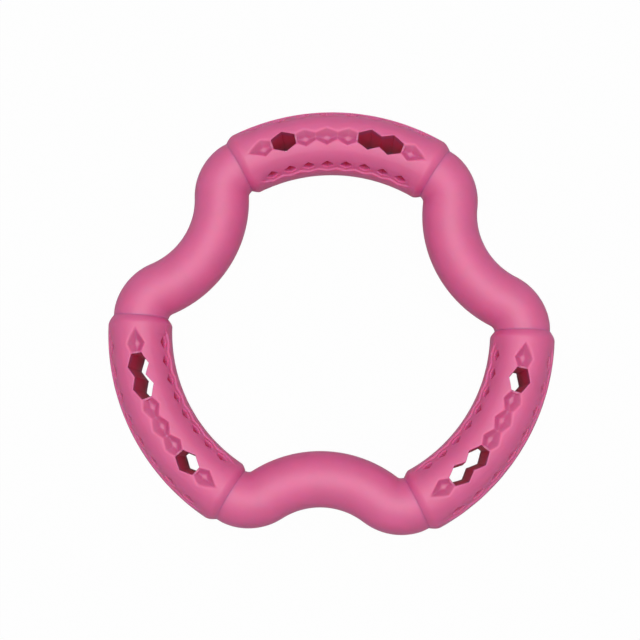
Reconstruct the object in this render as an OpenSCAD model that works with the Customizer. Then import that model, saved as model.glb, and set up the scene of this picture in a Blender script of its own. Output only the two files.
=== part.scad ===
// Rubber chew ring for a dog, lying flat with its centre at the origin.
// Three thick perforated arcs alternate with three slimmer wave bars.
// Each arc carries rows of hexagonal cells. Most are pits with sloping walls
// that open into their neighbours as one groove, and three in the top row are
// holes that run through to the underside, for treats.
// A plug on each end of a wave bar seats in a socket in the arc's end.

/* [Ring] */
// Radius of the tube's centre line along the perforated arcs
ring_r = 90; // [80:1:110]
// Angle at the ring's centre from the middle of an arc to its seam
seam_angle = 31.5; // [30:0.5:33]

/* [Perforated arcs] */
// Radius of the arc's round section
arc_r = 15; // [15:0.5:18]
// Length of the taper that brings each end down to the bar
collar_l = 4; // [2:0.5:6]
// Least plain length between the last cell and the taper
row_land = 3; // [2:0.5:4]

/* [Wave bars] */
// Radius of the bar's round section
bar_r = 13; // [11:0.5:13.5]
// Centre line radius of the bend next to each seam
bend_r = 16; // [15:0.5:20]
// Centre line radius of the middle, which bows towards the ring's centre
bow_r = 46; // [40:1:55]

/* [Cells] */
// Distance between neighbouring cells along the centre line
cell_pitch = 10.2; // [9:0.1:12]
// Number of rows of cells round the section
rows = 6; // [4:2:6]

/* [Treat holes] */
// Width of a treat hole along the tube, from flat to flat
hole_w = 11.1; // [10:0.1:12]
// Size of a treat hole across the tube, from point to point
hole_h = 9.8; // [8:0.1:11]
// Length of the flat sides of a treat hole
hole_flat = 4.6; // [3.2:0.1:6]
// How far a treat hole's points have come in at the underside
hole_draft = 1.5; // [0:0.1:1.5]
// Width of the rim between a treat hole and the next pit
hole_rim = 0.8; // [0.5:0.1:1.5]

/* [Pits] */
// Size of a pit across the tube, from point to point
pit_h = 8.4; // [7:0.1:9]
// Width of the neck where one pit opens into the next
pit_neck = 3.5; // [2.5:0.1:5]
// Depth of the neck under the crest of the surface
neck_depth = 1.4; // [1:0.1:2.5]
// Depth of a pit's floor under the crest of the surface
pit_depth = 3.3; // [3:0.1:5]
// Size of a pit's floor across the tube
pit_floor = 2; // [1.5:0.1:3]
// Length of a pit's floor along the tube
floor_l = 2; // [1.5:0.1:3]
// Width of the valley between the floors of two pits
valley_w = 0.4; // [0.3:0.1:0.8]
// Distance from the centre of a row's last pit to its pointed end
leaf_tip = 7.2; // [6:0.1:7.5]

/* [Plug joints] */
// Radius of the plug on the end of a wave bar
plug_r = 7; // [5:0.5:8]
// Length of the plug
plug_l = 8; // [5:0.5:10]
// Chamfer on the tip of the plug
plug_chamfer = 1; // [0.5:0.1:1.5]
// Gap between the plug and its socket
plug_gap = 0.2; // [0.1:0.05:0.4]

/* [Hidden] */
// Overrun of a cut past the surface it opens
overrun = 1;
// Colours as the photograph shows them
arc_colour = "#d56992";
bar_colour = "#e07ba3";
// Smoothness of the round sections and of the long arcs
$fn = 96;

// Angle from the middle of an arc to the middle of the next bar
third = 360 / 3;
bar_angle = third / 2;

// Length of half an arc along its centre line, and what fits on it
half_arc_l = ring_r * seam_angle * PI / 180;
cells = 2 * floor((half_arc_l - collar_l - row_land) / cell_pitch);
first_double = cells - 3;

// The bend's centre lies on the seam's ray, the bow's on the bar's own ray
bend_c = ring_r - bend_r;
bend_off = bend_c * sin(bar_angle - seam_angle);
bow_turn = asin(bend_off / (bend_r + bow_r));
bow_c = bend_c * cos(bar_angle - seam_angle) + (bend_r + bow_r) * cos(bow_turn);
bend_turn = bow_turn + bar_angle - seam_angle;

// How far a pit's wall comes in for each unit of depth, at the pit's middle
// and at its neck, and the half widths that gives at the level of the crest
wall_rate = (pit_h - pit_floor) / 2 / (pit_depth - sag(pit_h / 2));
neck_rate = (pit_neck - valley_w) / 2 / (neck_depth - sag(pit_neck / 2));
wide = pit_h / 2 + wall_rate * sag(pit_h / 2);
narrow = pit_neck / 2 + neck_rate * sag(pit_neck / 2);

// Slope of the taper, and where it has run out past the arc's surface
taper_rate = collar_l / (arc_r - bar_r);
trim_r = arc_r + overrun;
trim_l = taper_rate * (trim_r - bar_r);

// Angle along the ring that belongs to a length on the centre line
function along(s) = s / ring_r * 180 / PI;

// Fall of the arc's round section at a distance from its crest
function sag(y) = arc_r - sqrt(pow(arc_r, 2) - pow(y, 2));

// Place of cell i on its row, from the middle of the arc
function cell_at(i) = (i - (cells - 1) / 2) * cell_pitch;

// The second cell and a pair near the other end are holes
function is_hole(i) = i == 1 || i == first_double || i == first_double + 1;

// Six-sided outline with flats across the tube and points round it
function hexagon(w, h, flat) = [
    [-w / 2, -flat / 2], [0, -h / 2], [w / 2, -flat / 2],
    [w / 2, flat / 2], [0, h / 2], [-w / 2, flat / 2]
];

// Outline of a treat hole at a height, which narrows towards the underside
// by the draft of the pin that leaves it
function hole_outline(z) =
    let (inset = hole_draft * (arc_r - z) / 2 / arc_r)
    hexagon(hole_w, hole_h - 2 * inset, hole_flat - 2 * inset);

// Stations on one side of a pit's middle, as [distance, half width, half width
// of the bottom, depth]: where the floor has narrowed to the valley, and
// where this side stops on its way to its far end
function pit_side(end_half, end_depth, reach, limit) =
    let (
        rate = (wide - end_half) / reach,
        run = min(floor_l, limit) / 2,
        lift = (pit_depth - end_depth) / (reach - run)
    )
    [
        [run, wide - run * rate, valley_w / 2, pit_depth],
        [limit, wide - limit * rate, valley_w / 2, pit_depth - lift * (limit - run)]
    ];
// A side that opens into the next pit, one that stops at a hole's rim, and
// one that is drawn out to a point above the crest
function neck_side() = pit_side(narrow, neck_depth, cell_pitch / 2, cell_pitch / 2);
function rim_side() = pit_side(narrow, neck_depth, cell_pitch / 2,
    cell_pitch - hole_w / 2 - hole_rim);
function tip_side() = pit_side(0, -valley_w / 2 / wall_rate, leaf_tip, leaf_tip);

// A pit's sides towards the start and the end of its row
function low_side(i, first) = i == 0 ? tip_side() : i == first ? rim_side() : [];
function high_side(i, last) =
    i == cells - 1 ? tip_side() : i == last ? rim_side() : neck_side();

// Stations of a groove from its first pit to its last. A pit that follows
// another starts from the neck that the one before it ended at
function stations(first, last) = [
    for (i = [first:last])
        let (
            low = i > first ? [neck_side()[0]] : low_side(i, first),
            high = high_side(i, last)
        )
        each concat(
            [for (k = [len(low) - 1:-1:0]) station(i, -1, low[k])],
            [[cell_at(i), wide, pit_floor / 2, pit_depth]],
            [for (p = high) station(i, 1, p)]
        )
];
function station(i, way, p) = [cell_at(i) + way * p[0], p[1], p[2], p[3]];

// Section of a groove: [across, up] from the crest, up the far side and back
function groove_section(p) =
    let (half = p[1], bottom = p[2], depth = p[3],
        top_half = half + (half - bottom) / depth * overrun)
    [
        [-bottom, -depth], [bottom, -depth],
        [top_half, overrun], [-top_half, overrun]
    ];

// A point of a section, laid on the arc at an angle round the tube
function on_tube(angle, around, p) =
    let (reach = ring_r - (arc_r + p[1]) * sin(around) + p[0] * cos(around))
    [
        reach * sin(angle), reach * cos(angle),
        (arc_r + p[1]) * cos(around) + p[0] * sin(around)
    ];

// A stretch of round tube along part of a circle, from angle 0 up
module tube_arc(centre_r, tube_r, turn)
    rotate_extrude(angle = turn)
        translate([centre_r, 0])
            circle(r = tube_r);

// Lays something on the tube of an arc, at an angle along the ring
module on_centre_line(angle)
    rotate([0, 0, -angle])
        translate([0, ring_r, 0])
            children();

// Turns something made along +Z to point out of an arc's end
module on_seam(side)
    on_centre_line(side * seam_angle)
        rotate([0, side * 90, 0])
            children();

// Groove of joined pits, from one pit of a row to another
module groove(around, first, last) {
    line = stations(first, last);
    n = len(line);
    polyhedron(
        points = [
            for (s = line, p = groove_section(s))
                on_tube(along(s[0]), around, p)
        ],
        faces = concat(
            [[0, 1, 2, 3]],
            [[for (k = [3:-1:0]) 4 * (n - 1) + k]],
            [
                for (j = [0:n - 2], k = [0:3])
                    [4 * j + k, 4 * j + 4 + k,
                        4 * j + 4 + (k + 1) % 4, 4 * j + (k + 1) % 4]
            ]
        )
    );
}

// One row at an angle round the section, 0 on top: the rows on top and
// underneath are broken by the treat holes
module pit_row(around)
    if (around % 180 == 0) {
        groove(around, 0, 0);
        groove(around, 2, first_double - 1);
        groove(around, cells - 1, cells - 1);
    } else
        groove(around, 0, cells - 1);

// Six-sided hole from the top of the arc to the underside, laid at the origin
module treat_hole() {
    n = len(hole_outline(0));
    polyhedron(
        points = [
            for (z = [trim_r, -trim_r], p = hole_outline(z))
                [p[0], p[1], z]
        ],
        faces = concat(
            [[for (k = [n - 1:-1:0]) k], [for (k = [n:2 * n - 1]) k]],
            [for (k = [0:n - 1]) [k, (k + 1) % n, (k + 1) % n + n, k + n]]
        )
    );
}
module treat_holes()
    for (i = [0:cells - 1])
        if (is_hole(i))
            on_centre_line(along(cell_at(i)))
                treat_hole();

// What the taper takes off the end of an arc
module end_trim()
    rotate_extrude()
        polygon([
            [bar_r, 0], [bar_r, overrun],
            [trim_r, overrun], [trim_r, -trim_l]
        ]);

// Round socket in the end of an arc, a little wider and deeper than the plug
module socket_cut()
    translate([0, 0, -plug_l - plug_gap])
        cylinder(r = plug_r + plug_gap, h = plug_l + plug_gap + overrun);

// Round plug with a chamfered tip, rooted in the bar's end
module plug()
    rotate_extrude()
        polygon([
            [0, overrun], [plug_r, overrun],
            [plug_r, -plug_l + plug_chamfer],
            [plug_r - plug_chamfer, -plug_l], [0, -plug_l]
        ]);

// Perforated arc, centred on +Y
module perforated_arc()
    color(arc_colour)
        difference() {
            rotate([0, 0, 90 - seam_angle])
                tube_arc(ring_r, arc_r, 2 * seam_angle);
            for (side = [-1, 1])
                on_seam(side) {
                    end_trim();
                    socket_cut();
                }
            treat_holes();
            for (row = [0:rows - 1])
                pit_row(row * 360 / rows);
        }

// The half of a wave bar on the +X side: the bow and the bend start
// from the section that they share, and the bow is cut at the bar's middle
module half_bar()
    difference() {
        translate([0, -bow_c, 0])
            rotate([0, 0, -bow_turn])
                translate([0, bow_r, 0]) {
                    translate([0, -bow_r, 0])
                        rotate([0, 0, 90])
                            tube_arc(bow_r, bar_r, 2 * bow_turn);
                    translate([0, bend_r, 0])
                        rotate([0, 0, -90])
                            tube_arc(bend_r, bar_r, bend_turn);
                }
        translate([-ring_r, -ring_r - trim_r, -trim_r])
            cube([ring_r, ring_r + trim_r, 2 * trim_r]);
    }

// Wave bar, centred on -Y, from one seam to the next
module wave_bar()
    color(bar_colour)
        for (side = [0, 1])
            mirror([side, 0, 0]) {
                half_bar();
                rotate([0, 0, bar_angle + 180])
                    on_seam(1)
                        plug();
            }

module perforated_arc_top() perforated_arc();
module perforated_arc_right() rotate([0, 0, -third]) perforated_arc();
module perforated_arc_left() rotate([0, 0, third]) perforated_arc();
module wave_bar_bottom() wave_bar();
module wave_bar_right() rotate([0, 0, third]) wave_bar();
module wave_bar_left() rotate([0, 0, -third]) wave_bar();

perforated_arc_top();
perforated_arc_right();
perforated_arc_left();
wave_bar_right();
wave_bar_bottom();
wave_bar_left();
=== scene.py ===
"""Looks of a dog's rubber chew ring: three perforated arcs and three wave bars on a pale floor."""
import math

import bpy
import numpy as np
from bpy.props import FloatProperty, FloatVectorProperty, PointerProperty
from mathutils import Matrix, Vector


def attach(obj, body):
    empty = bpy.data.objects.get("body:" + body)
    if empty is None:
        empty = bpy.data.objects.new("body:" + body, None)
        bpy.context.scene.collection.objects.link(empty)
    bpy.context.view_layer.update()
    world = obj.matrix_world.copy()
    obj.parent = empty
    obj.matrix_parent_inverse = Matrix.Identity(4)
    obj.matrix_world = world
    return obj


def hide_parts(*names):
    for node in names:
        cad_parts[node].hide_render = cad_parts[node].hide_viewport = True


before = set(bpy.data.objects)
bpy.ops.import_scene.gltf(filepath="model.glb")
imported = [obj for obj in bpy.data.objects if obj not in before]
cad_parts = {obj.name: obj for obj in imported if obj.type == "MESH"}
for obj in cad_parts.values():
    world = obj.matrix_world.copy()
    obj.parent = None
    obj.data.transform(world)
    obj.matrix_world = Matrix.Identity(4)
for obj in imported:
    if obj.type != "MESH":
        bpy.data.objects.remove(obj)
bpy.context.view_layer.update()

bl_info = {
    "name": "Chew Ring",
    "version": (1, 0, 0),
    "blender": (4, 5, 0),
    "location": "3D View > Sidebar > Chew Ring",
    "description": "Builds the moulded rubber of a dog's chew ring and the stage it lies on",
    "category": "Object",
}

MM = 0.001

# Each piece that is built, with the CAD node it stands for and its turn about the ring's axis
ARCS = (
    ("rubber_arc_top", "perforated_arc_top", 0),
    ("rubber_arc_right", "perforated_arc_right", -120),
    ("rubber_arc_left", "perforated_arc_left", 120),
)
BARS = (
    ("rubber_bar_bottom", "wave_bar_bottom", 0),
    ("rubber_bar_right", "wave_bar_right", 120),
    ("rubber_bar_left", "wave_bar_left", -120),
)

# An arc has six rows of eight cells, counted from the top. All cells are pits, apart from three
# in the top row and three in the row underneath, which are the ends of the holes.
ROWS = 6
TOP_ROW = 0
UNDER_ROW = ROWS // 2
CELLS = 8
HOLES = (1, 5, 6)
PITS = tuple(cell for cell in range(CELLS) if cell not in HOLES)

# Distance across a side row's ledge for each unit of depth, and depth for each unit of distance
# into a side pit's core and down from the rim between a pit and a hole
LEDGE_RATE = 0.62
CORE_RATE = 5.0
RIM_RATE = 9

# Softness of a pit's floor, its rim beside a hole and the meeting with the next pit, as shares
# of the pits' softness
BOTTOM_SOFT = 0.8
RIM_SOFT = 0.6
NEXT_SOFT = 0.5

# Rounding of corners in the outlines of cells, holes and cores, and of the middle of a row
CELL_ROUND = 0.2 * MM
HOLE_ROUND = 0.1 * MM
CORE_ROUND = 0.2 * MM
MIDDLE_ROUND = 0.15 * MM

BOTTOM_BLEND = 1 * MM  # distance over which the shift of a pit's floor changes side
SHOULDER_POWER = 1.5  # how fast the shoulder swells: above 1 it bulges

# Values that stand for no cut, for no hole near and for no hole at all
NO_CUT = 5 * MM
FAR = 1.0
NO_HOLE = -1.0

# Places of rings are rounded to this many digits of a metre, so that equal ones count as one,
# and a place this close to a hole's end still counts as in the hole
PLACE_DIGITS = 7
TOUCH = 1e-9

# Where the mesh of an arc has its rings: from a cell's middle, round the rim beside a hole, over
# the hole's lip in shares of it, just inside the hole, past the last cell, and from the seam in
# shares of the shoulder
CELL_RINGS = np.array([0, 0.25, 0.6, 1.1, 1.6, 2.1, 2.6, 3.1]) * MM
RIM_RINGS = np.array([-0.35, -0.15, -0.04, 0.05, 0.14, 0.25]) * MM
LIP_RINGS = np.array([-1, -0.55, -0.25, -0.07, 0])
INTO_HOLE = 0.2 * MM
TIP_RINGS = np.array([0.3, 0.6, 0.9, 1.1, 1.3, 1.5, 1.8, 2.4, 3.2, 4.0]) * MM
SHOULDER_RINGS = np.array([1, 0.88, 0.76, 0.64, 0.53, 0.43, 0.34, 0.26, 0.19, 0.13, 0.08, 0.04,
                           0.015, 0])
TIP_GAP = 0.3 * MM  # least distance from the rings past the last cell to the shoulder
RING_GAP = 0.015 * MM  # a ring closer than this to the one before it is left out

# Where that mesh has its lines across the top row and the one underneath: in shares of the open
# part, of the lip next to it and of the plain skin beyond
OPEN_LINES = np.array([0, 0.1, 0.2, 0.28, 0.36, 0.47, 0.58, 0.69, 0.8, 0.89, 0.95, 1])
LIP_LINES = np.array([0.07, 0.25, 0.55, 1])
SKIN_LINES = np.array([0.16, 0.36, 0.58, 0.8, 1])
OPEN_REACH = len(OPEN_LINES) - 1
ROW_MIDDLE = OPEN_REACH + len(LIP_LINES) + len(SKIN_LINES)

# The same across a side row: in shares of the plain skin, of the dip over the ledge, of the core,
# and of two stretches where the dip fades towards the crest
SIDE_LINES = (
    (0, 0.35, 0.65, 0.85, 0.95),
    (0, 0.07, 0.2, 0.4, 0.6, 0.8, 0.93),
    (0, 0.03, 0.07, 0.13, 0.2, 0.3, 0.42, 0.58, 0.7, 0.8, 0.87, 0.93, 0.97),
    (0, 0.12, 0.4, 0.75),
    (0, 0.25, 0.6),
)

# For the mesh's lines: least half width of a row's open part before and after the skin's
# roundness is reckoned in, least half width of a core, and least step from ledge to core
LEAST_START = 1 * MM
LEAST_OPEN = 0.8 * MM
LEAST_CORE = 0.3 * MM
LEAST_STEP = 0.4 * MM

SAG_STEPS = 4  # rounds of reckoning where a pit's wall meets the round skin

# Levels of the mesh down a hole's wall, as shares of its depth
WALL_LEVELS = (0.02, 0.06, 0.14, 0.25, 0.38, 0.5, 0.62, 0.75, 0.86, 0.94, 0.98)

# Rings of a bar's mesh: as shares of the shoulder's length next to the seam, then at one step
BAR_END_RINGS = np.array([0, 0.015, 0.04, 0.08, 0.13, 0.19, 0.26, 0.34, 0.43, 0.53, 0.7])
BAR_STEP = 0.9 * MM
BAR_LINES = 112

# Depths between which the colour turns to the painted shade of the pits and to the painted deeper
# red of the holes
PIT_SHADE_DEPTHS = (0.1 * MM, 0.8 * MM)
BORE_SHADE_DEPTHS = (3.5 * MM, 7 * MM)

# The side rows lie within this share of the tube's radius above and below its mid-plane. Depth
# there counts for the painted shade only past this many side dips, and then this many times over.
SIDE_BAND = 0.65
CORE_FROM = 2
CORE_SHADE_GAIN = 6

# The card on the floor: how white the camera and reflections see it, the rest being its real
# shade with the ring's shadow, its reach from the middle, and its gap under the ring
CARD_SEEN = 0.98
CARD_MIRRORED = 0.05
CARD_REACH = 3.0
CARD_GAP = 0.1 * MM

# Light of the room, and the lamp's place, side and power, in metres and watts
ROOM_LIGHT = 0.12
LAMP_PLACE = (0.02, 0.0, 1.1)
LAMP_SIDE = 1.1
LAMP_WATTS = 14.0

# The photograph's pinhole camera: focal length and width of the picture in pixels, sensor's
# width in millimetres, turns about X, Y and Z in degrees, place in millimetres, and the nearest
# and farthest that it sees in metres
FOCAL_PX = 1217.03
PHOTO_PX = 640
SENSOR_MM = 36
CAMERA_TURNS = (-7.41, -2.06, -2.40)
CAMERA_PLACE = (15.38, -69.70, 569.30)
CLIP = (0.01, 20)


def linear(hex_colour):
    """An sRGB hex colour as linear red, green and blue."""
    parts = [int(hex_colour[k:k + 2], 16) / 255 for k in (1, 3, 5)]
    return tuple(c / 12.92 if c <= 0.04045 else ((c + 0.055) / 1.055) ** 2.4 for c in parts)


def length(name, description, default_mm):
    """A size that a user may change, given in millimetres and held in metres."""
    return FloatProperty(name=name, description=description, default=default_mm * MM,
                         min=0, unit="LENGTH", subtype="DISTANCE")


def colour(name, description, hex_colour):
    """A colour that a user may change."""
    return FloatVectorProperty(name=name, description=description, default=linear(hex_colour),
                               size=3, min=0, max=1, subtype="COLOR")


class ChewRingSizes(bpy.types.PropertyGroup):
    """Sizes of the ring's rubber.

    The ring, the bars, the holes and the pits of the top row have the CAD source's sizes, apart
    from the length of the floors. The soft edges, the crease, the floors' shift, the low rims
    and the rows on the sides are this file's own.
    """

    ring_r: length("Ring radius", "Centre line radius along the perforated arcs", 90)
    seam_angle: FloatProperty(
        name="Seam angle", description="Angle from the middle of an arc to its seam",
        default=math.radians(31.5), min=0, max=math.pi / 3, unit="ROTATION", subtype="ANGLE")
    arc_r: length("Arc radius", "Radius of a perforated arc's round section", 15)
    collar_l: length("Collar length", "Length of the shoulder at each end of an arc", 4)
    bar_r: length("Bar radius", "Radius of a wave bar's round section", 13)
    bend_r: length("Bend radius", "Centre line radius of the bend next to each seam", 16)
    bow_r: length("Bow radius", "Centre line radius of a bar's middle", 46)
    crease: length("Crease depth", "Depth of the soft crease round each seam", 0.18)
    crease_w: length("Crease width", "Reach of the crease to each side of the seam", 1.7)
    cell_pitch: length("Cell pitch", "Distance between neighbouring cells", 10.2)
    hole_w: length("Hole width", "Width of a treat hole along the tube", 11.1)
    hole_h: length("Hole height", "Size of a treat hole across the tube", 9.8)
    hole_flat: length("Hole flat", "Length of a treat hole's flat sides", 4.6)
    hole_draft: length("Hole draft", "How far a hole's points have come in at the underside", 1.5)
    hole_rim: length("Hole rim", "Rubber left between a treat hole and the next pit", 0.8)
    rim_low: length("Rim depth", "How far that rubber lies below the skin", 1.0)
    hole_lip: length("Hole lip", "Rounding of a treat hole's lip on top", 0.45)
    under_lip: length("Underside lip", "Rounding of a treat hole's lip underneath", 0.15)
    pit_h: length("Pit size", "Size of a pit across the tube", 8.4)
    pit_neck: length("Pit neck", "Width where one pit opens into the next", 3.5)
    neck_depth: length("Neck depth", "Depth where one pit opens into the next", 1.4)
    pit_depth: length("Pit depth", "Depth of a pit's floor", 3.3)
    pit_floor: length("Pit floor", "Size of a pit's floor across the tube", 2.0)
    floor_l: length("Floor length", "Length of a pit's floor along the tube", 3.0)
    floor_in: length("Floor shift", "How far a pit's floor sits towards the ring's centre", 0.8)
    valley_w: length("Valley width", "Width of the valley between two pits", 0.4)
    pit_edge: length("Pit edge", "Softness of the edges round a pit", 0.7)
    side_dip: length("Side dip", "Depth of the dip above a side row's ledge", 0.75)
    side_low: length("Side low", "Distance of a side row's ledge at the pits", 3.3)
    side_neck: length("Side neck", "Distance of a side row's ledge between the pits", 1.8)
    side_edge: length("Side edge", "Softness of the edges in the rows on the sides", 0.42)
    core_w: length("Core width", "Width along the tube of the deep core of a side pit", 6.0)
    core_h: length("Core height", "Size across the tube of the core", 4.8)
    core_flat: length("Core flat", "Length of the core's flat sides", 1.6)
    core_up: length("Core shift", "How far the core sits towards the crest", 0.7)
    core_depth: length("Core depth", "Depth of the core", 6.5)
    leaf_tip: length("Leaf tip", "Reach of a row's last pit to its point", 7.2)


class ChewRingFinish(bpy.types.PropertyGroup):
    """Colours and surface of the rubber and the stage."""

    arc_colour: colour("Arc colour", "Colour of the perforated arcs", "#d8458b")
    bar_colour: colour("Bar colour", "Colour of the wave bars", "#d8458b")
    # The pit and bore colours are painted shade: the rubber is drawn duller in the pits and a
    # deeper red deep in the holes
    pit_shade_colour: colour("Pit colour", "Colour of the duller skin in the pits", "#c84483")
    bore_shade_colour: colour("Bore colour", "Colour deep in the holes", "#d82e68")
    floor_colour: colour("Floor colour", "Colour of the floor", "#b4b4b4")
    grain: length("Grain", "Width of the mould's grain as it is drawn", 0.7)
    grain_depth: length("Grain depth", "Height of the mould's grain as it is drawn", 0.03)
    mottle: length("Mottle", "Width of the clouds of slightly uneven colour", 9)


def soft_min(a, b, k):
    """The smaller of two heights, with the edge between them rounded over k."""
    return np.minimum(a, b) - np.maximum(k - np.abs(a - b), 0) ** 2 / (4 * k)


def soft_max(a, b, k):
    """The larger of two heights, with the valley between them rounded over k."""
    return -soft_min(-a, -b, k)


def crease_depth(size, from_seam):
    """Depth of the soft crease at a distance from the seam."""
    return size.crease * np.exp(-(from_seam / size.crease_w) ** 2)


class ArcForm:
    """The surface of one perforated arc, as heights over its round section at a row's crest.

    A place on it is its distance along the tube from the arc's middle, and its distance across
    the row from the row's middle line.
    """

    def __init__(self, size):
        self.size = size
        self.half_l = size.ring_r * size.seam_angle
        # A pit's outline lies on the round skin. Its walls are laid out from the crest's level,
        # where they stand wider apart, and their rate is the distance across for each depth.
        neck_sag = self.sag(size.pit_neck / 2)
        wall_sag = self.sag(size.pit_h / 2)
        self.wall_rate = (size.pit_h - size.pit_floor) / 2 / (size.pit_depth - wall_sag)
        neck_rate = (size.pit_neck - size.valley_w) / 2 / (size.neck_depth - neck_sag)
        self.wide = size.pit_h / 2 + self.wall_rate * wall_sag
        self.narrow = size.pit_neck / 2 + neck_rate * neck_sag
        self.rim_at = size.cell_pitch - size.hole_w / 2 - size.hole_rim
        self.hole_slope = (size.hole_h - size.hole_flat) / size.hole_w
        self.row_end = size.arc_r * math.sin(math.pi / ROWS)

    def sag(self, across):
        """How far the round section has dropped from its crest."""
        return self.size.arc_r - np.sqrt(self.size.arc_r ** 2 - np.square(across))

    def cell_at(self, cell):
        """Place of a cell's middle along the tube."""
        return (cell - (CELLS - 1) / 2) * self.size.cell_pitch

    def off_cell(self, along, cell):
        """Distance from a cell's middle along the tube."""
        return np.abs(along - self.cell_at(cell))

    def pit(self, along, cell, soft=0.0):
        """Half width of a cell's pit at the crest's level, its walls' rate and its depth.

        The first and the last cell of a row run out in a long leaf-shaped tip.
        """
        size = self.size
        from_middle = along - self.cell_at(cell)
        run = np.sqrt(from_middle ** 2 + soft ** 2) - soft
        half = np.empty(np.shape(run))
        rate = np.full(np.shape(run), self.wall_rate)
        depth = np.full(np.shape(run), size.pit_depth)
        reach = size.cell_pitch / 2
        slope = (self.wide - self.narrow) / reach
        for way in (-1, 1):
            here = from_middle * way >= 0
            if cell == (0 if way < 0 else CELLS - 1):
                half[here] = self.wide - self.wide / size.leaf_tip * run[here]
                continue
            floor = min(size.floor_l, self.rim_at if cell + way in HOLES else reach) / 2
            half[here] = self.wide - slope * run[here]
            out = np.clip(run[here], 0, reach)
            rise = np.clip((out - floor) / (reach - floor), 0, 1)
            bottom = size.valley_w / 2 + (size.pit_floor - size.valley_w) / 2 * np.clip(
                1 - out / floor, 0, 1)
            depth[here] = size.pit_depth + (size.neck_depth - size.pit_depth) * rise
            rate[here] = (self.wide - slope * out - bottom) / depth[here]
        return half, rate, depth

    def hole_half_height(self, along, inset=0.0):
        """Half height of the treat holes, below zero where there is none."""
        size = self.size
        tallest = np.full(np.shape(along), NO_HOLE)
        for cell in HOLES:
            off = self.off_cell(along, cell)
            half = size.hole_h / 2 - inset - self.hole_slope * off
            inside = off <= size.hole_w / 2 + TOUCH
            tallest = np.maximum(tallest, np.where(inside, half, NO_HOLE))
        return tallest

    def hole_distance(self, along, across, inset):
        """Distance outside the nearest treat hole's outline."""
        size = self.size
        lean = math.cos(math.atan(self.hole_slope))
        nearest = np.full(np.broadcast(along, across).shape, FAR)
        for cell in HOLES:
            off = self.off_cell(along, cell)
            sides = (np.abs(across) - (size.hole_h / 2 - inset - self.hole_slope * off)) * lean
            flats = off - size.hole_w / 2 + 0 * across
            nearest = np.minimum(nearest, soft_max(sides, flats, HOLE_ROUND))
        return nearest

    def inset(self, row):
        """How far the holes' points have come in at a row."""
        return 0.0 if row == TOP_ROW else self.size.hole_draft

    def height(self, along, across, row):
        """Height in the top row or the one underneath: skin, lips of the holes and pits."""
        size = self.size
        soft = size.pit_edge
        outward = 1 if row == TOP_ROW else -1
        off_middle = np.sqrt(across ** 2 + MIDDLE_ROUND ** 2)
        cut = np.full(np.broadcast(along, across).shape, NO_CUT)
        for cell in PITS:
            half, rate, depth = self.pit(along, cell, CELL_ROUND)
            # The floor's shift makes the outer wall longer and the inner one shorter
            deep = np.clip((depth - size.neck_depth) / (size.pit_depth - size.neck_depth), 0, 1)
            rate = rate + outward * np.tanh(across / BOTTOM_BLEND) * deep * size.floor_in / depth
            pit = soft_max((off_middle - half) / rate, -depth, BOTTOM_SOFT * soft)
            for way in (-1, 1):
                if cell + way in HOLES:
                    over = way * (along - self.cell_at(cell)) - self.rim_at
                    rim = np.minimum(over * RIM_RATE, -size.rim_low) + 0 * across
                    pit = soft_max(pit, rim, RIM_SOFT * soft)
            cut = soft_min(cut, pit, NEXT_SOFT * soft)
        lip = size.hole_lip if row == TOP_ROW else size.under_lip
        off_hole = np.maximum(self.hole_distance(along, across, self.inset(row)), 0)
        in_lip = np.clip(lip - off_hole, 0, None)
        skin = -self.sag(across) - lip + np.sqrt(lip ** 2 - in_lip ** 2)
        return soft_min(skin, cut, soft)

    def core_half(self, off):
        """Half size of a side pit's core across the tube, at a distance from its middle."""
        size = self.size
        return size.core_h / 2 - (size.core_h - size.core_flat) / size.core_w * off

    def ledge_line(self, along):
        """Distance of a side row's ledge from its middle line, and how open the row is there."""
        size = self.size
        half = np.max([self.pit(along, cell, CELL_ROUND)[0] for cell in range(CELLS)], axis=0)
        rise = np.clip((half - self.narrow) / (self.wide - self.narrow), 0, 1)
        open_share = np.clip(half / self.narrow, 0, 1)
        return (size.side_neck + (size.side_low - size.side_neck) * rise) * open_share, open_share

    def side_height(self, along, across):
        """Height in a row on the side, where across grows towards the crest.

        The skin dips towards a zigzag ledge, and over the ledge each pit has a deep core.
        """
        size = self.size
        soft = size.side_edge
        low, open_share = self.ledge_line(along)
        near_ledge = np.clip((self.row_end - across) / (self.row_end + size.side_neck), 0, 1)
        dip = size.side_dip * open_share * near_ledge
        skin = -self.sag(across)
        cut = soft_max(skin - (across + low) / LEDGE_RATE, skin - dip, soft)
        lean = size.core_w / math.hypot(size.core_w, size.core_h - size.core_flat)
        for cell in range(CELLS):
            off = self.off_cell(along, cell)
            sides = (np.abs(across - size.core_up) - self.core_half(off)) * lean
            outside = soft_max(sides, off - size.core_w / 2 + 0 * across, CORE_ROUND)
            core = soft_max(outside * CORE_RATE, -size.core_depth, soft)
            cut = soft_min(cut, core, soft)
        return soft_min(skin, cut, soft)

    def edge_line(self, along, row):
        """Half width of a row's open part, which the mesh's lines follow."""
        size = self.size
        half = np.full(np.shape(along), LEAST_START)
        rate = np.full(np.shape(along), self.wall_rate)
        for cell in PITS:
            pit_half, pit_rate, _ = self.pit(along, cell)
            rate = np.where(pit_half > half, pit_rate, rate)
            half = np.maximum(half, pit_half)
        line = half
        # A pit's wall meets the round skin below the crest's level
        for _ in range(SAG_STEPS):
            line = half - rate * self.sag(line)
        line = np.maximum(line, LEAST_OPEN)
        inset = self.inset(row)
        for cell in HOLES:
            near = self.off_cell(along, cell) < size.hole_w / 2 + size.hole_rim
            line = np.where(near, size.hole_flat / 2 - inset, line)
        hole = self.hole_half_height(along, inset)
        return np.where(hole > 0, hole, line)

    def shoulder(self, from_seam):
        """Radius of the section at a distance from the seam."""
        size = self.size
        share = np.clip(from_seam / size.collar_l, 0, 1)
        swell = size.bar_r + (size.arc_r - size.bar_r) * (1 - (1 - share) ** SHOULDER_POWER)
        return swell - crease_depth(size, from_seam)


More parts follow.
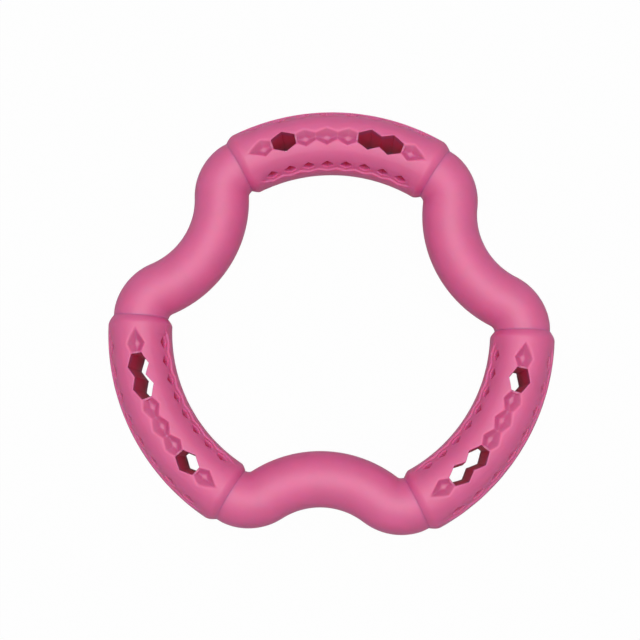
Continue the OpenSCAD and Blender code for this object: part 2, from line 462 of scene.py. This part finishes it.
def arc_stations(form):
    """Places along an arc where the mesh has a ring, denser at edges."""
    size = form.size
    flat = size.cell_pitch - size.hole_w / 2
    half = np.unique(np.round(np.concatenate([
        CELL_RINGS, form.rim_at + RIM_RINGS, flat + size.hole_lip * LIP_RINGS,
        [flat + INTO_HOLE, size.cell_pitch / 2]]), PLACE_DIGITS))
    one = np.concatenate([-half[:-1], half])
    cells = [form.cell_at(cell) + one for cell in range(CELLS)]
    last = size.cell_pitch / 2 + form.cell_at(CELLS - 1)
    tips = last + TIP_RINGS
    tips = tips[tips < form.half_l - size.collar_l - TIP_GAP]
    ends = np.concatenate([[last], tips, form.half_l - size.collar_l * SHOULDER_RINGS])
    found = np.unique(np.round(np.concatenate([-ends, *cells, ends]), PLACE_DIGITS))
    return found[np.concatenate([[True], np.diff(found) > RING_GAP])]


def row_lines(form, along, row):
    """Places across the top row or the one underneath at each ring, from side to side."""
    edge = form.edge_line(along, row)[:, None]
    lip = edge + form.size.hole_lip * LIP_LINES
    skin = lip[:, -1:] + (form.row_end - lip[:, -1:]) * SKIN_LINES
    half = np.concatenate([edge * OPEN_LINES, lip, skin], axis=1)
    return np.concatenate([-half[:, :0:-1], half], axis=1)


def side_lines(form, along):
    """Places across a side row at each ring, from the mid-plane's side to the crest's."""
    size = form.size
    off = np.min([form.off_cell(along, cell) for cell in range(CELLS)], axis=0)
    core = np.maximum(form.core_half(np.minimum(off, size.core_w / 2)), LEAST_CORE)
    low = -np.maximum(form.ledge_line(along)[0], LEAST_OPEN)
    marks = [np.full(len(along), -form.row_end), low,
             np.maximum(size.core_up - core, low + LEAST_STEP), size.core_up + core,
             np.full(len(along), size.side_low), np.full(len(along), form.row_end)]
    lines = [a[:, None] + (b - a)[:, None] * np.array(shares)
             for a, b, shares in zip(marks, marks[1:], SIDE_LINES)]
    return np.concatenate(lines + [marks[-1][:, None]], axis=1)


def arc_section(form, along):
    """Points of the section at each ring, from the tube's centre, and where each row starts."""
    size = form.size
    columns, starts, count = [], {}, 0
    for step in range(ROWS):
        row = -step % ROWS
        if row in (TOP_ROW, UNDER_ROW):
            across = row_lines(form, along, row)
            up = size.arc_r + form.height(along[:, None], across, row)
        else:
            way = 1 if row in (TOP_ROW + 1, UNDER_ROW + 1) else -1
            across = side_lines(form, along)
            up = size.arc_r + form.side_height(along[:, None], across)
            across, up = across[:, ::way] * way, up[:, ::way]
        turn = row * math.tau / ROWS
        outward = -up * math.sin(turn) + across * math.cos(turn)
        rise = up * math.cos(turn) + across * math.sin(turn)
        starts[row] = count
        columns.append(np.stack([outward[:, :-1], rise[:, :-1]], axis=-1))
        count += across.shape[1] - 1
    return np.concatenate(columns, axis=1), starts


def hole_walls(points, ids, in_hole, top_middle, under_middle):
    """Points and faces of the walls that join the holes' outlines on top and underneath."""
    verts, faces, total = [], [], len(points)
    lines = ids.shape[1]
    across = np.arange(-OPEN_REACH, OPEN_REACH + 1)
    edges = np.flatnonzero(np.diff(np.concatenate([[0], in_hole.astype(int), [0]])))
    for start, stop in edges.reshape(-1, 2):
        loop = [(start, line) for line in across]
        loop += [(ring, OPEN_REACH) for ring in range(start + 1, stop)]
        loop += [(stop, line) for line in across[::-1]]
        loop += [(ring, -OPEN_REACH) for ring in range(stop - 1, start, -1)]
        ring, line = np.array(loop).T
        top = ids[ring, (top_middle + line) % lines]
        under = ids[ring, (under_middle - line) % lines]
        levels = [top]
        for share in WALL_LEVELS:
            verts.append(points[top] + (points[under] - points[top]) * share)
            levels.append(np.arange(total, total + len(loop)))
            total += len(loop)
        levels.append(under)
        for upper, lower in zip(levels, levels[1:]):
            faces.append(np.stack(
                [upper, lower, np.roll(lower, -1), np.roll(upper, -1)], axis=1))
    return verts, faces


def arc_mesh(size):
    """Points, faces and end faces of a perforated arc that is centred on +Y."""
    form = ArcForm(size)
    along = arc_stations(form)
    section, starts = arc_section(form, along)
    taper = form.shoulder(form.half_l - np.abs(along)) / size.arc_r
    section = section * taper[:, None, None]
    turn = (along / size.ring_r)[:, None]
    reach = size.ring_r + section[..., 0]
    points = np.stack([reach * np.sin(turn), reach * np.cos(turn), section[..., 1]], axis=-1)
    rings, lines = points.shape[:2]
    points = points.reshape(-1, 3)
    ids = np.arange(rings * lines).reshape(rings, lines)

    in_hole = form.hole_half_height((along[:-1] + along[1:]) / 2) > 0
    middles = [starts[row] + ROW_MIDDLE for row in (TOP_ROW, UNDER_ROW)]
    keep = np.ones((rings - 1, lines), bool)
    for middle in middles:
        keep[np.ix_(in_hole, np.arange(middle - OPEN_REACH, middle + OPEN_REACH))] = False
    ring, line = np.nonzero(keep)
    beside = (line + 1) % lines
    skin = np.stack([ids[ring, line], ids[ring, beside], ids[ring + 1, beside],
                     ids[ring + 1, line]], axis=1)
    verts, faces = hole_walls(points, ids, in_hole, *middles)
    return close_ends(np.concatenate([points, *verts]), np.concatenate([skin, *faces]), ids)


def depth_in_arc(points, size):
    """Depth of each point of an arc below its round skin, for the painted shade.

    On the sides only the pits' cores count, and they count as deep as a hole.
    """
    form = ArcForm(size)
    from_centre = np.hypot(points[:, 0], points[:, 1])
    along = np.arctan2(points[:, 0], points[:, 1]) * size.ring_r
    skin = form.shoulder(form.half_l - np.abs(along))
    depth = skin - np.hypot(from_centre - size.ring_r, points[:, 2])
    # Painted shade: the side pits' cores count many times deeper, so they are drawn in the holes'
    # deeper red
    core = np.clip(depth - CORE_FROM * size.side_dip, 0, None) * CORE_SHADE_GAIN
    return np.where(np.abs(points[:, 2]) < SIDE_BAND * size.arc_r, core, depth)


def close_ends(points, quads, ids):
    """Adds a flat end to the first and the last ring, and drops the points that nothing uses."""
    first, last = ids[0], ids[-1]
    total = len(points)
    points = np.concatenate([points, [points[first].mean(0), points[last].mean(0)]])
    ends = [(total, a, b) for a, b in zip(np.roll(first, -1), first)]
    ends += [(total + 1, a, b) for a, b in zip(last, np.roll(last, -1))]
    ends = np.array(ends)
    used = np.unique(np.concatenate([quads.ravel(), ends.ravel()]))
    new = np.full(len(points), -1)
    new[used] = np.arange(len(used))
    return points[used], new[quads], new[ends]


def bar_line(size):
    """Points, headings and distances from the seam along a wave bar that is centred on -Y."""
    turn_in = math.pi / 3 - size.seam_angle
    both_r = size.bend_r + size.bow_r
    bend_c = size.ring_r - size.bend_r
    bow_turn = math.asin(bend_c * math.sin(turn_in) / both_r)
    bow_c = bend_c * math.cos(turn_in) + both_r * math.cos(bow_turn)
    bow_l = bow_turn * size.bow_r
    full = (bow_turn + turn_in) * size.bend_r + bow_l
    from_seam = np.concatenate([
        size.collar_l * BAR_END_RINGS, np.arange(size.collar_l, full, BAR_STEP)])
    at = np.concatenate([from_seam - full, [0], full - from_seam])
    at = np.unique(np.round(at, PLACE_DIGITS))
    off = np.abs(at)
    in_bow = off <= bow_l
    turn = np.where(in_bow, off / size.bow_r, bow_turn)
    bow = np.stack([size.bow_r * np.sin(turn), -bow_c + size.bow_r * np.cos(turn)], axis=-1)
    turned_back = np.where(in_bow, 0, (off - bow_l) / size.bend_r)
    middle = np.array([both_r * math.sin(bow_turn), -bow_c + both_r * math.cos(bow_turn)])
    back = bow_turn + math.pi - turned_back
    bend = middle + size.bend_r * np.stack([np.sin(back), np.cos(back)], axis=-1)
    place = np.where(in_bow[:, None], bow, bend)
    heading = np.where(in_bow, -turn, -bow_turn + turned_back)
    side = np.where(at < 0, -1, 1)
    place[:, 0] *= side
    return place, heading * side, full - off


def bar_mesh(size):
    """Points, faces and end faces of a wave bar that is centred on -Y."""
    place, heading, from_seam = bar_line(size)
    radius = (size.bar_r - crease_depth(size, from_seam))[:, None]
    around = np.arange(BAR_LINES) * math.tau / BAR_LINES
    out = radius * np.cos(around)
    rise = radius * np.sin(around)
    x = place[:, :1] - np.sin(heading)[:, None] * out
    y = place[:, 1:] + np.cos(heading)[:, None] * out
    points = np.stack([x, y, rise], axis=-1).reshape(-1, 3)
    ids = np.arange(len(points)).reshape(-1, BAR_LINES)
    beside = np.roll(ids, -1, axis=1)
    quads = np.stack([ids[:-1], beside[:-1], beside[1:], ids[1:]], axis=-1).reshape(-1, 4)
    return close_ends(points, quads, ids)


def rubber_piece(name, node, degrees, shape, material, depth=None):
    """Makes one piece of rubber, turned into place, and puts it where its CAD node is."""
    points, quads, ends = shape
    a = math.radians(degrees)
    turn = np.array([[math.cos(a), -math.sin(a), 0], [math.sin(a), math.cos(a), 0], [0, 0, 1]])
    mesh = bpy.data.meshes.new(name)
    mesh.from_pydata((points @ turn.T).tolist(), [], quads.tolist() + ends.tolist())
    smooth = np.concatenate([np.ones(len(quads), bool), np.zeros(len(ends), bool)])
    mesh.polygons.foreach_set("use_smooth", smooth)
    if mesh.validate():
        raise RuntimeError(f"{name} has faces that don't hold")
    mesh.update()
    if depth is not None:
        sunk = mesh.attributes.new("depth", "FLOAT", "POINT")
        sunk.data.foreach_set("value", depth.astype(np.float32))
    piece = bpy.data.objects.new(name, mesh)
    bpy.context.scene.collection.objects.link(piece)
    mesh.materials.append(material)
    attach(piece, "root")
    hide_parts(node)


def add(tree, kind, inputs=None, **settings):
    """Adds a node with its settings, and its inputs as values or as links."""
    node = tree.nodes.new(kind)
    for name, value in settings.items():
        setattr(node, name, value)
    for name, value in (inputs or {}).items():
        if isinstance(value, bpy.types.NodeSocket):
            tree.links.new(value, node.inputs[name])
        else:
            node.inputs[name].default_value = value
    return node


def new_material(name):
    """An empty material and its node tree."""
    material = bpy.data.materials.new(name)
    material.use_nodes = True
    material.node_tree.nodes.clear()
    return material, material.node_tree


def moulded_rubber(name, shade, finish):
    """Thermoplastic rubber, injection moulded in a spark-eroded steel mould.

    The eye gets one solid pink with hardly any shine. Light sinks a few millimetres into the
    rubber and comes back redder, so shaded sides stay warm and edges stay soft. The mould's
    fine grain leaves a satin skin that pales a little where it is seen at a slant.
    """
    material, tree = new_material(name)
    where = add(tree, "ShaderNodeTexCoord").outputs["Object"]

    # Flow of the melt: faint clouds, a few per cent lighter or darker and a little more or
    # less dull, each about as wide as a cell
    clouds = add(tree, "ShaderNodeTexNoise", {
        "Vector": where, "Scale": 1 / finish.mottle, "Detail": 3, "Roughness": 0.55})
    tone = add(tree, "ShaderNodeMapRange", {
        "Value": clouds.outputs["Fac"], "From Min": 0.3, "From Max": 0.7,
        "To Min": 0.96, "To Max": 1.04})
    gloss = add(tree, "ShaderNodeMapRange", {
        "Value": clouds.outputs["Fac"], "From Min": 0.3, "From Max": 0.7,
        "To Min": 0.55, "To Max": 0.65})

    # Painted shade: by depth, the pink is drawn duller in the pits and a deeper red deep in the
    # holes, in place of the light that goes from rubber to rubber there. A Mix node's colours are
    # its sockets 6 and 7, since its sockets share their names.
    depth = add(tree, "ShaderNodeAttribute", attribute_name="depth").outputs["Fac"]
    skin = (*shade, 1)
    for tint, (start, full) in ((finish.pit_shade_colour, PIT_SHADE_DEPTHS), (finish.bore_shade_colour, BORE_SHADE_DEPTHS)):
        share = add(tree, "ShaderNodeMapRange", {
            "Value": depth, "From Min": start, "From Max": full})
        skin = add(tree, "ShaderNodeMix", {
            0: share.outputs["Result"], 6: skin, 7: (*tint, 1)}, data_type="RGBA").outputs[2]
    tint = add(tree, "ShaderNodeVectorMath", {0: skin, 1: tone.outputs["Result"]},
               operation="MULTIPLY")

    # A spark-eroded grain is about 0.05 mm wide, too fine to show, so it is drawn 0.7 mm wide
    grain = add(tree, "ShaderNodeTexNoise", {
        "Vector": where, "Scale": 1 / finish.grain, "Detail": 2, "Roughness": 0.6})
    bump = add(tree, "ShaderNodeBump", {
        "Height": grain.outputs["Fac"], "Distance": finish.grain_depth, "Strength": 0.6})

    # Red light travels up to 3 mm in the rubber, and green and blue about 1 mm. The coat is
    # the satin skin.
    shader = add(tree, "ShaderNodeBsdfPrincipled", {
        "Base Color": tint.outputs["Vector"], "Roughness": gloss.outputs["Result"],
        "IOR": 1.5, "Normal": bump.outputs["Normal"], "Subsurface Weight": 1.0,
        "Subsurface Radius": (1.0, 0.25, 0.35), "Subsurface Scale": 3 * MM,
        "Coat Weight": 0.9, "Coat Roughness": 0.55, "Coat IOR": 1.5,
        "Coat Normal": bump.outputs["Normal"]})
    add(tree, "ShaderNodeOutputMaterial", {"Surface": shader.outputs["BSDF"]})
    return material


def white_share(tree, seen, mirrored):
    """How much plain white a ray finds: the camera's own, or one that is reflected or bent."""
    rays = add(tree, "ShaderNodeLightPath").outputs
    seen = add(tree, "ShaderNodeMath", {0: rays["Is Camera Ray"], 1: seen},
               operation="MULTIPLY")
    bent = add(tree, "ShaderNodeMath", {
        0: rays["Is Glossy Ray"], 1: rays["Is Transmission Ray"]}, operation="MAXIMUM")
    bent = add(tree, "ShaderNodeMath", {0: bent.outputs[0], 1: mirrored}, operation="MULTIPLY")
    return add(tree, "ShaderNodeMath", {0: seen.outputs[0], 1: bent.outputs[0]},
               operation="MAXIMUM").outputs[0]


def matt_card(finish):
    """Matt coated white card: an even pale floor without shine.

    The camera sees it as white, with a faint trace of the ring's shadow.
    """
    material, tree = new_material("matt_white_card")
    card = add(tree, "ShaderNodeBsdfDiffuse", {"Color": (*finish.floor_colour, 1)})
    white = add(tree, "ShaderNodeEmission", {"Color": (1, 1, 1, 1), "Strength": 1.0})
    mixed = add(tree, "ShaderNodeMixShader", {
        0: white_share(tree, CARD_SEEN, CARD_MIRRORED), 1: card.outputs[0],
        2: white.outputs[0]})
    add(tree, "ShaderNodeOutputMaterial", {"Surface": mixed.outputs[0]})
    return material


def lay_floor(scene, level, finish):
    """Lays the floor, which isn't part of the object."""
    mesh = bpy.data.meshes.new("floor")
    corners = [(x * CARD_REACH, y * CARD_REACH, level)
               for x, y in ((-1, -1), (1, -1), (1, 1), (-1, 1))]
    mesh.from_pydata(corners, [], [(0, 1, 2, 3)])
    mesh.materials.append(matt_card(finish))
    floor = bpy.data.objects.new("floor", mesh)
    scene.collection.objects.link(floor)


def set_room(scene):
    """A dim even room that the camera and reflections see as white."""
    world = bpy.data.worlds.new("soft_room")
    world.use_nodes = True
    tree = world.node_tree
    tree.nodes.clear()
    room = add(tree, "ShaderNodeBackground", {"Color": (1, 1, 1, 1), "Strength": ROOM_LIGHT})
    white = add(tree, "ShaderNodeBackground", {"Color": (1, 1, 1, 1), "Strength": 1.0})
    mixed = add(tree, "ShaderNodeMixShader", {
        0: white_share(tree, 1.0, 1.0), 1: room.outputs[0], 2: white.outputs[0]})
    add(tree, "ShaderNodeOutputWorld", {"Surface": mixed.outputs[0]})
    scene.world = world


def set_camera(scene):
    """The camera, at the photograph's place and angle."""
    data = bpy.data.cameras.new("camera")
    data.sensor_width = SENSOR_MM
    data.lens = FOCAL_PX / PHOTO_PX * SENSOR_MM
    data.clip_start, data.clip_end = CLIP
    camera = bpy.data.objects.new("camera", data)
    tilt, pan, roll = (math.radians(degrees) for degrees in CAMERA_TURNS)
    look = (Matrix.Rotation(roll, 3, "Z") @ Matrix.Rotation(tilt, 3, "X")
            @ Matrix.Rotation(pan, 3, "Y"))
    camera.matrix_world = (
        Matrix.Translation(Vector(CAMERA_PLACE) * MM) @ look.transposed().to_4x4())
    scene.collection.objects.link(camera)
    scene.camera = camera


def hang_softbox(scene):
    """A square soft lamp overhead that looks at the ring's centre."""
    data = bpy.data.lights.new("overhead_softbox", "AREA")
    data.shape = "SQUARE"
    data.size = LAMP_SIDE
    data.energy = LAMP_WATTS
    lamp = bpy.data.objects.new("overhead_softbox", data)
    lamp.location = LAMP_PLACE
    lamp.rotation_mode = "QUATERNION"
    lamp.rotation_quaternion = Vector(LAMP_PLACE).to_track_quat("Z", "Y")
    scene.collection.objects.link(lamp)


class CHEWRING_OT_arcs(bpy.types.Operator):
    """Builds the three perforated arcs"""

    bl_idname = "chewring.arcs"
    bl_label = "Perforated arcs"

    def execute(self, context):
        finish = context.scene.chew_ring_finish
        sizes = context.scene.chew_ring_sizes
        rubber = moulded_rubber("moulded_rubber_arcs", finish.arc_colour, finish)
        shape = arc_mesh(sizes)
        depth = depth_in_arc(shape[0], sizes)
        for name, node, degrees in ARCS:
            rubber_piece(name, node, degrees, shape, rubber, depth)
        return {"FINISHED"}


class CHEWRING_OT_bars(bpy.types.Operator):
    """Builds the three wave bars"""

    bl_idname = "chewring.bars"
    bl_label = "Wave bars"

    def execute(self, context):
        finish = context.scene.chew_ring_finish
        rubber = moulded_rubber("moulded_rubber_bars", finish.bar_colour, finish)
        shape = bar_mesh(context.scene.chew_ring_sizes)
        for name, node, degrees in BARS:
            rubber_piece(name, node, degrees, shape, rubber)
        return {"FINISHED"}


class CHEWRING_OT_stage(bpy.types.Operator):
    """Lays the floor, and sets the room, the camera and the lamp"""

    bl_idname = "chewring.stage"
    bl_label = "Stage"

    def execute(self, context):
        scene = context.scene
        lay_floor(scene, -scene.chew_ring_sizes.arc_r - CARD_GAP, scene.chew_ring_finish)
        set_room(scene)
        set_camera(scene)
        hang_softbox(scene)
        scene.view_settings.view_transform = "Standard"
        return {"FINISHED"}


STEPS = (CHEWRING_OT_arcs, CHEWRING_OT_bars, CHEWRING_OT_stage)


class CHEWRING_PT_panel(bpy.types.Panel):
    """Lists the ring's sizes, finish and steps"""

    bl_label = "Chew Ring"
    bl_idname = "CHEWRING_PT_panel"
    bl_space_type = "VIEW_3D"
    bl_region_type = "UI"
    bl_category = "Chew Ring"

    def draw(self, context):
        layout = self.layout
        for group in (context.scene.chew_ring_sizes, context.scene.chew_ring_finish):
            box = layout.box()
            for name in type(group).__annotations__:
                box.prop(group, name)
        for step in STEPS:
            layout.operator(step.bl_idname)


CLASSES = (ChewRingSizes, ChewRingFinish, *STEPS, CHEWRING_PT_panel)


def register():
    for each in CLASSES:
        bpy.utils.register_class(each)
    bpy.types.Scene.chew_ring_sizes = PointerProperty(type=ChewRingSizes)
    bpy.types.Scene.chew_ring_finish = PointerProperty(type=ChewRingFinish)


def unregister():
    del bpy.types.Scene.chew_ring_finish
    del bpy.types.Scene.chew_ring_sizes
    for each in reversed(CLASSES):
        bpy.utils.unregister_class(each)


def main():
    register()
    bpy.ops.chewring.arcs()
    bpy.ops.chewring.bars()
    bpy.ops.chewring.stage()


if __name__ == "__main__":
    main()
